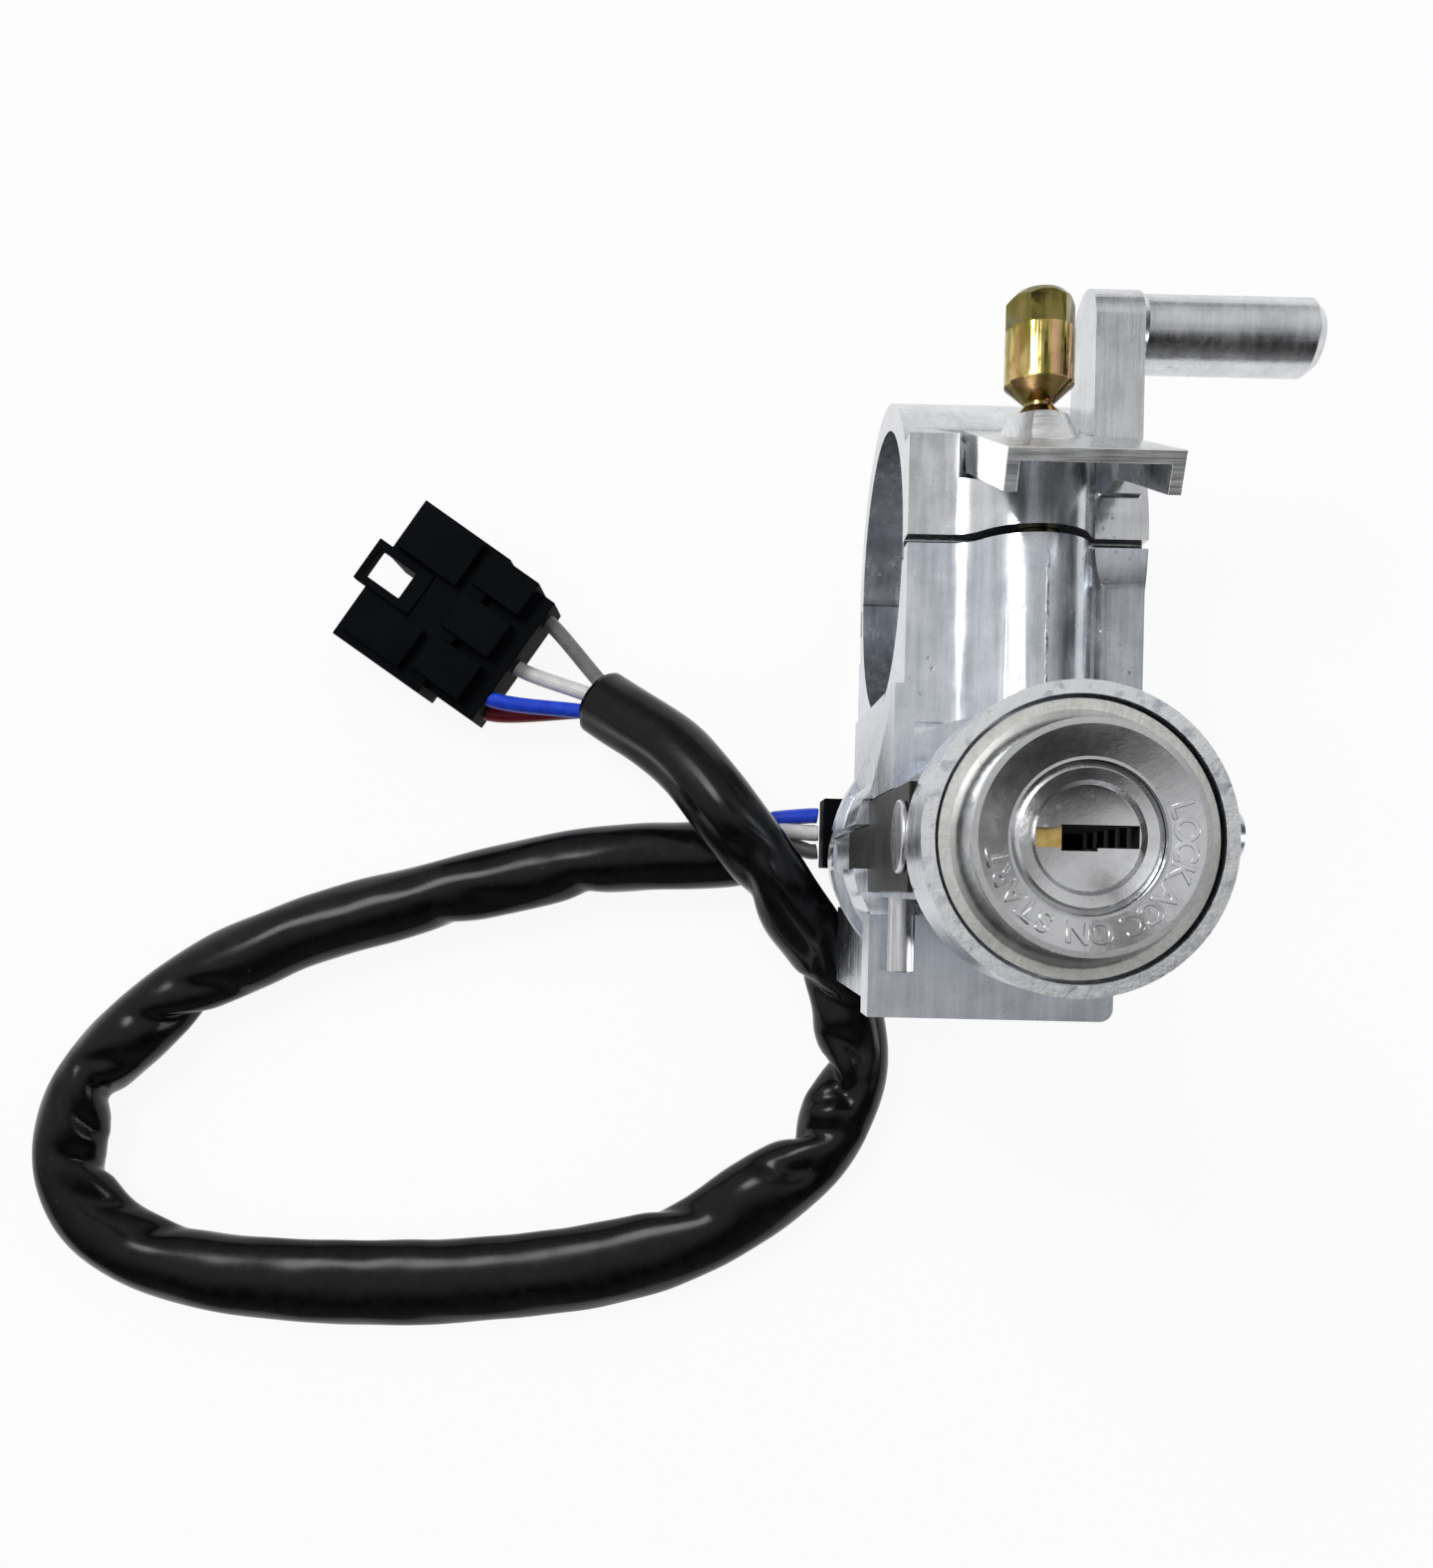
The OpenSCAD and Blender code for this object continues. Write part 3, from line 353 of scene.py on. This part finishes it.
def soften(node, material, width, segments=2, body="lock", limit=32):
    """A copy of a CAD node with merged corners and rounded edges, shown in place of the node, which is
    hidden.
    """
    bm = bmesh.new()
    bm.from_mesh(nodes[node].data)
    bmesh.ops.remove_doubles(bm, verts=bm.verts, dist=CAD_MERGE)
    bmesh.ops.dissolve_limit(bm, angle_limit=math.radians(0.1), verts=bm.verts, edges=bm.edges)
    mesh = from_bmesh(node + "_soft", bm)
    mesh.set_sharp_from_angle(angle=math.radians(limit))
    obj = add(node + "_soft", mesh, material, body)
    rounding = obj.modifiers.new("rounded_edges", "BEVEL")
    rounding.width = width
    rounding.segments = segments
    rounding.limit_method = "ANGLE"
    rounding.angle_limit = math.radians(limit)
    rounding.harden_normals = True
    rounding.miter_outer = "MITER_ARC"
    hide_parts(node)
    return obj


def dress(node, material):
    """Gives a CAD node its finish, with its shape as it is."""
    mesh = nodes[node].data
    mesh.materials.clear()
    mesh.materials.append(material)


def catmull(points, spans):
    """Smooth line through the points, as the CAD route is smoothed."""
    line = []
    last = len(points) - 1
    for i in range(last):
        a, b, c, d = (points[max(i - 1, 0)], points[i], points[i + 1], points[min(i + 2, last)])
        for k in range(spans):
            t = k / spans
            line.append(0.5 * (2 * b + (c - a) * t + (2 * a - 5 * b + 4 * c - d) * t ** 2
                               + (3 * b - a - 3 * c + d) * t ** 3))
    line.append(points[last])
    return line


# harness sheath: route points from the CAD source, heights above the lying height
SHEATH_D = 12 * MM
SHEATH_R = SHEATH_D / 2
SHEATH_STEPS = 560
SHEATH_SIDES = 44
ROUTE_SPANS = 24
LYING_Z = FLOOR_Z + SHEATH_R
FLOOR_GAP = 0.05 * MM
# shares of the sleeve's size: how a wider one flattens, the deepest fold, and the wall's ripple
FLATTEN = 0.9
FOLD_LIMIT = 0.62
CREASE_SHARP = 3.2
WINDOW_LEAST = 0.01
RIPPLE = 0.035
RIPPLE_MM = 9
RIPPLE_ROUND = 1.6
ROUTE = [(-33, -42, 0), (-40, -45, 0), (-56, -46, 0), (-70, -48, 0), (-93, -54, 0), (-116, -61, 0),
         (-134, -70, 0), (-148, -82, 0), (-155, -94, 0), (-155, -105, 0), (-148, -115, 0), (-132, -121, 0),
         (-109, -123, 0), (-83, -122, 0), (-58, -118, 0), (-39, -110, 0), (-25, -99, 0), (-18, -86, 0),
         (-18, -74, 0), (-23, -63, 4), (-31, -52, 11), (-40, -40, 13.5), (-50, -28, 8), (-63, -19, 0)]
sheath_line = catmull([Vector((x * MM, y * MM, LYING_Z + h * MM)) for x, y, h in ROUTE], ROUTE_SPANS)

# half width of the flattened sleeve along its length, mm
HALF_WIDTHS = [(0, 6.0), (60, 6.1), (130, 6.0), (170, 6.6), (205, 7.5), (255, 7.4), (290, 6.4), (330, 5.9),
               (397, 5.9)]
# folds: place along the sleeve, depth, half length, middle angle, half angle, skew (mm per radian)
FOLDS = [
    (34, 0.16, 3.0, 10, 60, 2.0), (46, -0.07, 9.0, 20, 60, 0.0), (59, 0.14, 3.5, 5, 55, 2.5),
    (52, 0.10, 5.0, 62, 26, 6.0),
    (96, -0.12, 7.0, 25, 60, 0.0), (110, 0.42, 2.6, 15, 75, 4.0), (103, 0.20, 3.2, 70, 40, 6.0),
    (120, -0.14, 6.0, 10, 60, 0.0), (132, 0.44, 2.8, 10, 80, -2.0), (137, 0.22, 2.0, 60, 55, -4.0),
    (126, 0.16, 2.6, 85, 40, 4.0), (141, -0.08, 3.0, 10, 50, 0.0), (148, 0.30, 2.4, 10, 70, -3.0),
    (156, 0.20, 4.0, 45, 40, -7.0), (170, 0.16, 4.0, 20, 45, -5.0),
    (267, 0.22, 5.0, 15, 50, 7.0), (281, -0.24, 8.0, 25, 60, 0.0), (295, 0.50, 2.6, 10, 80, 3.0),
    (289, 0.22, 3.0, 75, 40, 5.0), (302, -0.10, 4.0, 20, 55, 0.0), (310, 0.46, 2.6, 10, 80, -3.0),
    (305, 0.20, 2.2, 60, 45, 4.0), (319, -0.14, 5.0, 15, 60, 0.0), (316, 0.18, 2.6, 75, 35, -5.0),
    (329, 0.34, 3.0, 20, 75, -4.0), (336, 0.22, 3.0, 70, 45, 6.0), (343, -0.08, 5.0, 0, 60, 0.0),
    (352, 0.26, 3.6, 15, 65, 4.0), (358, 0.14, 4.0, 80, 40, -6.0),
    (376, 0.12, 26.0, 38, 13, 0.0), (376, -0.05, 26.0, 60, 11, 0.0), (345, 0.14, 14.0, 66, 12, -9.0),
    (345, -0.06, 14.0, 88, 11, -9.0), (313, 0.16, 9.0, 95, 16, 14.0), (240, 0.06, 26.0, 150, 24, 0.0),
]


def between(table, where):
    """Value at a place along a table of places and values, smooth between its rows."""
    for (s0, v0), (s1, v1) in zip(table, table[1:]):
        if where <= s1:
            part = (where - s0) / (s1 - s0)
            part = part * part * (3 - 2 * part)
            return v0 + (v1 - v0) * part
    return table[-1][1]


def fold_depth(along, angle):
    """How far the sleeve wall is pressed in here, as a share of its radius."""
    depth = 0
    for place, deep, half, middle, half_angle, skew in FOLDS:
        off = math.radians((math.degrees(angle) - middle + 180) % 360 - 180)
        window = math.exp(-(math.degrees(off) / half_angle) ** 2)
        if window > WINDOW_LEAST:
            away = (along - place - skew * off) / half
            crease = math.exp(1 - math.sqrt(1 + CREASE_SHARP * away * away))
            depth += deep * window * (crease if deep > 0 else math.exp(-away * away))
    return depth


def make_sheath():
    """The sleeve along its route: flattened, rippled and folded, and closed at both ends."""
    lengths = [0.0]
    for a, b in zip(sheath_line, sheath_line[1:]):
        lengths.append(lengths[-1] + (b - a).length)
    total = lengths[-1]
    bm = bmesh.new()
    bmesh.ops.create_grid(bm, x_segments=SHEATH_STEPS, y_segments=SHEATH_SIDES, size=0.5)
    spot = 0
    for vert in sorted(bm.verts, key=lambda v: (v.co.x, v.co.y)):
        where = (vert.co.x + 0.5) * total
        angle = (vert.co.y + 0.5) * 2 * math.pi
        while lengths[spot + 1] < where and spot < len(lengths) - 2:
            spot += 1
        part = (where - lengths[spot]) / (lengths[spot + 1] - lengths[spot])
        centre = sheath_line[spot].lerp(sheath_line[spot + 1], part)
        ahead = sheath_line[min(spot + 2, len(sheath_line) - 1)] - sheath_line[max(spot - 1, 0)]
        ahead.normalize()
        side = Vector((0, 0, 1)).cross(ahead).normalized()
        up = ahead.cross(side)
        mm = where / MM
        half_width = between(HALF_WIDTHS, mm) * MM
        drop = FLATTEN * (half_width - SHEATH_R)
        half_height = SHEATH_R - drop
        around = (math.cos(angle) * RIPPLE_ROUND, math.sin(angle) * RIPPLE_ROUND)
        soft = RIPPLE * noise.noise(Vector((mm / RIPPLE_MM, *around)))
        share = 1 - min(fold_depth(mm, angle), FOLD_LIMIT) + soft
        vert.co = (centre - up * drop + side * (half_width * share * math.cos(angle))
                   + up * (half_height * share * math.sin(angle)))
        vert.co.z = max(vert.co.z, FLOOR_Z + FLOOR_GAP)
    bmesh.ops.remove_doubles(bm, verts=bm.verts, dist=SEAM_MERGE)
    bmesh.ops.holes_fill(bm, edges=[e for e in bm.edges if e.is_boundary], sides=0)
    bmesh.ops.recalc_face_normals(bm, faces=bm.faces)
    return from_bmesh("sheath", bm)


# leads: the CAD ends at the switch, and straighter runs from the sheath to the connector
LEAD_R = 1.35 * MM
LEAD_SIDES = 16
LEAD_STEPS = 14
LEAD_PULL = 3.5 * MM
IN_CONNECTOR = 1.2 * MM
IN_SHEATH = 1.5 * MM
LEAD_SHARP = math.radians(60)
# points of the sheath's line that give its end's direction, and corners in a CAD lead's end ring
END_SPAN = 6
CAD_RING = 8
CONNECTOR_SIDE_Y = -30 * MM
CONNECTOR_TURN = math.radians(-34)
CONNECTOR_AXIS = Vector((math.cos(CONNECTOR_TURN), math.sin(CONNECTOR_TURN), 0))


def add_tube(bm, line):
    """A closed round tube along a line of points."""
    last = len(line) - 1
    tube = bmesh.ops.create_grid(bm, x_segments=last, y_segments=LEAD_SIDES, size=0.5)["verts"]
    for vert in tube:
        spot = round((vert.co.x + 0.5) * last)
        angle = (vert.co.y + 0.5) * 2 * math.pi
        ahead = (line[min(spot + 1, last)] - line[max(spot - 1, 0)]).normalized()
        side = Vector((0, 0, 1)).cross(ahead).normalized()
        vert.co = line[spot] + LEAD_R * (side * math.cos(angle) + ahead.cross(side) * math.sin(angle))
    bmesh.ops.remove_doubles(bm, verts=tube, dist=SEAM_MERGE)
    bmesh.ops.holes_fill(bm, edges=[e for e in bm.edges if e.is_boundary], sides=0)
    bmesh.ops.recalc_face_normals(bm, faces=bm.faces)


def make_lead(node):
    """A lead that keeps its CAD end at the switch and has a straighter run to the connector."""
    bm = bmesh.new()
    bm.from_mesh(nodes[node].data)
    bmesh.ops.remove_doubles(bm, verts=bm.verts, dist=CAD_MERGE)
    run = sorted((v for v in bm.verts if v.co.y > CONNECTOR_SIDE_Y), key=lambda v: v.co.dot(CONNECTOR_AXIS))
    ahead = (sheath_line[-1] - sheath_line[-END_SPAN]).normalized()
    at_connector = sum((v.co for v in run[:CAD_RING]), Vector()) / CAD_RING - IN_CONNECTOR * CONNECTOR_AXIS
    at_sheath = sum((v.co for v in run[-CAD_RING:]), Vector()) / CAD_RING - IN_SHEATH * ahead
    bmesh.ops.delete(bm, geom=run, context="VERTS")
    add_tube(bm, interpolate_bezier(at_sheath, at_sheath + LEAD_PULL * ahead,
                                    at_connector + LEAD_PULL * CONNECTOR_AXIS, at_connector, LEAD_STEPS))
    mesh = from_bmesh(node + "_soft", bm)
    mesh.set_sharp_from_angle(angle=LEAD_SHARP)
    return mesh


connector = [soften("connector_housing", BLACK, 0.3 * MM, 3)]
for name, material in (("wire_blue", BLUE), ("wire_white", WHITE), ("wire_red", RED), ("wire_grey", GREY)):
    lead = add(name + "_soft", make_lead(name), material)
    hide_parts(name)
    connector.append(lead)
sheath = add("sheath", make_sheath(), SHEATH)
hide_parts("harness_sheath")
[tuple(p) for p in sheath_line[::6]] + [tuple(sheath_line[-1])]

# castings, sheet and fasteners: the sheet's cut edges and the bezel's outer flat have their own finish
EDGE_UP = 0.7
EDGE_ASIDE = 0.3
FLAT_UP = 0.9
FROSTED_FROM_R = 11 * MM
soften("lock_housing", CAST, 0.55 * MM, 3, "lock", 24)
soften("clamp_cap", CAST_CAP, 0.6 * MM, 3)
bracket = soften("clamp_bracket", SHEET, 0.7 * MM, 3)
bracket.data.materials.append(CUT_EDGE)
for face in bracket.data.polygons:
    if face.normal.z > EDGE_UP and abs(face.normal.x) < EDGE_ASIDE:
        face.material_index = 1
soften("shear_bolt", YELLOW, 0.4 * MM, 3)
case = soften("cylinder_case", BEZEL, 0.2 * MM, 3, "lock", 12)
case.data.materials.append(FROSTED)
for face in case.data.polygons:
    reach = min((case.data.vertices[i].co.xy - Vector((LOCK_X, LOCK_Y))).length for i in face.vertices)
    if face.normal.z > FLAT_UP and reach > FROSTED_FROM_R:
        face.material_index = 1
soften("side_plate", DARK_PLATE, 0.15 * MM)
soften("side_rivet", STEEL, 0.3 * MM)
soften("roll_pin", STEEL, 0.25 * MM)
soften("key_plug", PLUG_FACE, 0.12 * MM, 2, "plug", 12)

for name in ("cam_shaft", "release_cam", "shaft_clip", "lock_bolt", "bolt_spring", "spring_cap",
             "switch_screws"):
    dress(name, STEEL)
for name in ("wafer_1", "wafer_2", "wafer_3", "wafer_4", "wafer_5", "contact_bridge", "fixed_contacts",
             "connector_terminals"):
    dress(name, BRASS)
for name in ("switch_case", "switch_cover"):
    soften(name, BLACK, 0.25 * MM)
dress("switch_rotor", PALE)


# raised words on the bezel: word, middle angle, step between letters
WORDS = [("LOCK", -0.5, 13.0), ("ACC", -49.5, 12.9), ("ON", -90, 14.0), ("START", -143, 12.4)]
LETTER_H = 2.1 * MM
CAPITAL_SHARE = 0.72
LETTER_RAISE = 0.15 * MM
LETTER_SPREAD = 0.03 * MM
LETTER_BEVEL = 0.05 * MM
LETTER_R = 7.7 * MM
DISH_DROP = 0.8 * MM
DISH_INNER_R = 7.4 * MM
DISH_WIDTH = 2.9 * MM
DISH_SLOPE = math.atan(DISH_DROP / DISH_WIDTH)
LEGEND_Z = FACE_Z - DISH_DROP + (LETTER_R - DISH_INNER_R) * math.tan(DISH_SLOPE)


def letter_mesh(letter):
    data = bpy.data.curves.new("letter", "FONT")
    data.body = letter
    data.size = LETTER_H / CAPITAL_SHARE
    data.align_x = "CENTER"
    data.extrude = LETTER_RAISE
    data.offset = LETTER_SPREAD
    data.bevel_depth = LETTER_BEVEL
    data.bevel_resolution = 1
    text = bpy.data.objects.new("letter", data)
    bpy.context.scene.collection.objects.link(text)
    bpy.context.view_layer.update()
    mesh = bpy.data.meshes.new_from_object(text)
    bpy.data.objects.remove(text)
    return mesh


def make_words():
    bm = bmesh.new()
    for word, middle, step in WORDS:
        for i, letter in enumerate(word):
            angle = math.radians(middle + step * ((len(word) - 1) / 2 - i))
            mesh = letter_mesh(letter)
            mesh.transform(Matrix.Translation((LOCK_X, LOCK_Y, LEGEND_Z))
                           @ Matrix.Rotation(angle - math.pi / 2, 4, "Z")
                           @ Matrix.Translation((0, LETTER_R, 0)) @ Matrix.Rotation(DISH_SLOPE, 4, "X"))
            bm.from_mesh(mesh)
            bpy.data.meshes.remove(mesh)
    return from_bmesh("legend", bm)


add("legend", make_words(), BEZEL)


# floor and studio light
FLOOR_SIZE = 2.5
FLOOR_GLOW = 0.92


def make_floor():
    """A pale floor that shows white and keeps a faint shadow."""
    bm = bmesh.new()
    bmesh.ops.create_grid(bm, x_segments=1, y_segments=1, size=FLOOR_SIZE)
    bmesh.ops.translate(bm, verts=bm.verts, vec=(0, 0, FLOOR_Z))
    mesh = from_bmesh("floor", bm)
    floor = bpy.data.objects.new("floor", mesh)
    bpy.context.scene.collection.objects.link(floor)
    finish = Finish("floor", roughness=0.9)
    finish.feed("Base Color", finish.tint(finish.noise(3, 2), (0.86, 0.86, 0.86), (0.88, 0.88, 0.88)))
    seen = finish.node("ShaderNodeLightPath", {}, {}, "Is Camera Ray")
    glossy = finish.node("ShaderNodeLightPath", {}, {}, "Is Glossy Ray")
    through = finish.node("ShaderNodeLightPath", {}, {}, "Is Transmission Ray")
    glow = finish.node("ShaderNodeEmission", {}, {"Strength": 1.0})
    shown = (seen + glossy + through).step(0, 1) * FLOOR_GLOW
    plain = Wire(finish.tree, finish.shader.outputs[0])
    surface = finish.node("ShaderNodeMixShader", {}, {0: shown, 1: plain, 2: glow})
    finish.tree.links.new(surface.socket, finish.tree.nodes["Material Output"].inputs["Surface"])
    mesh.materials.append(finish.material)


def soft_box(name, place, aim, size, power):
    data = bpy.data.lights.new(name, "AREA")
    data.shape = "RECTANGLE"
    data.size, data.size_y = size
    data.energy = power
    lamp = bpy.data.objects.new(name, data)
    lamp.location = place
    lamp.rotation_euler = (Vector(aim) - Vector(place)).to_track_quat("-Z", "Y").to_euler()
    bpy.context.scene.collection.objects.link(lamp)


# the studio's bright side, its darker parts, and a weak light from low in front
BRIGHT_SIDE = (-0.4, 0.8, 0.45)
PATCH_SIDE = (0.14, 0.44, 0.887)
PATCH_DARK = 0.85
TOP_DARK = 0.55
LOW_FRONT = 0.2
WORLD_STRENGTH = 0.8


def make_world():
    """A soft studio: bright high up, with a dark patch where the person with the camera stands."""
    world = bpy.data.worlds.new("studio")
    bpy.context.scene.world = world
    world.use_nodes = True
    tree = world.node_tree
    place = tree.nodes.new("ShaderNodeTexCoord")
    split = tree.nodes.new("ShaderNodeSeparateXYZ")
    tree.links.new(place.outputs["Generated"], split.inputs[0])
    x, y, z = (Wire(tree, split.outputs[axis]) for axis in "XYZ")
    high = x * BRIGHT_SIDE[0] + y * BRIGHT_SIDE[1] + z * BRIGHT_SIDE[2]
    patch = (x * PATCH_SIDE[0] + y * PATCH_SIDE[1] + z * PATCH_SIDE[2]).step(0.985, 0.996)
    top = y.step(0.7, 0.97)
    level = (0.03 + 0.90 * high.step(-0.06, 0.5)) * (1 - patch * PATCH_DARK) * (1 - top * TOP_DARK)
    level = level + (0 - y).step(0.6, 0.95) * LOW_FRONT
    tree.links.new(level.socket, tree.nodes["Background"].inputs["Color"])
    tree.nodes["Background"].inputs["Strength"].default_value = WORLD_STRENGTH


make_floor()
make_world()
soft_box("key_light", (-0.42, 0.355, 0.72), (-0.06, -0.05, 0.0), (0.36, 0.3), 3.4)
soft_box("side_light", (0.7, -0.1, 0.35), (0.0, -0.05, 0.02), (0.15, 0.5), 1.2)
bpy.context.scene.view_settings.view_transform = "Standard"
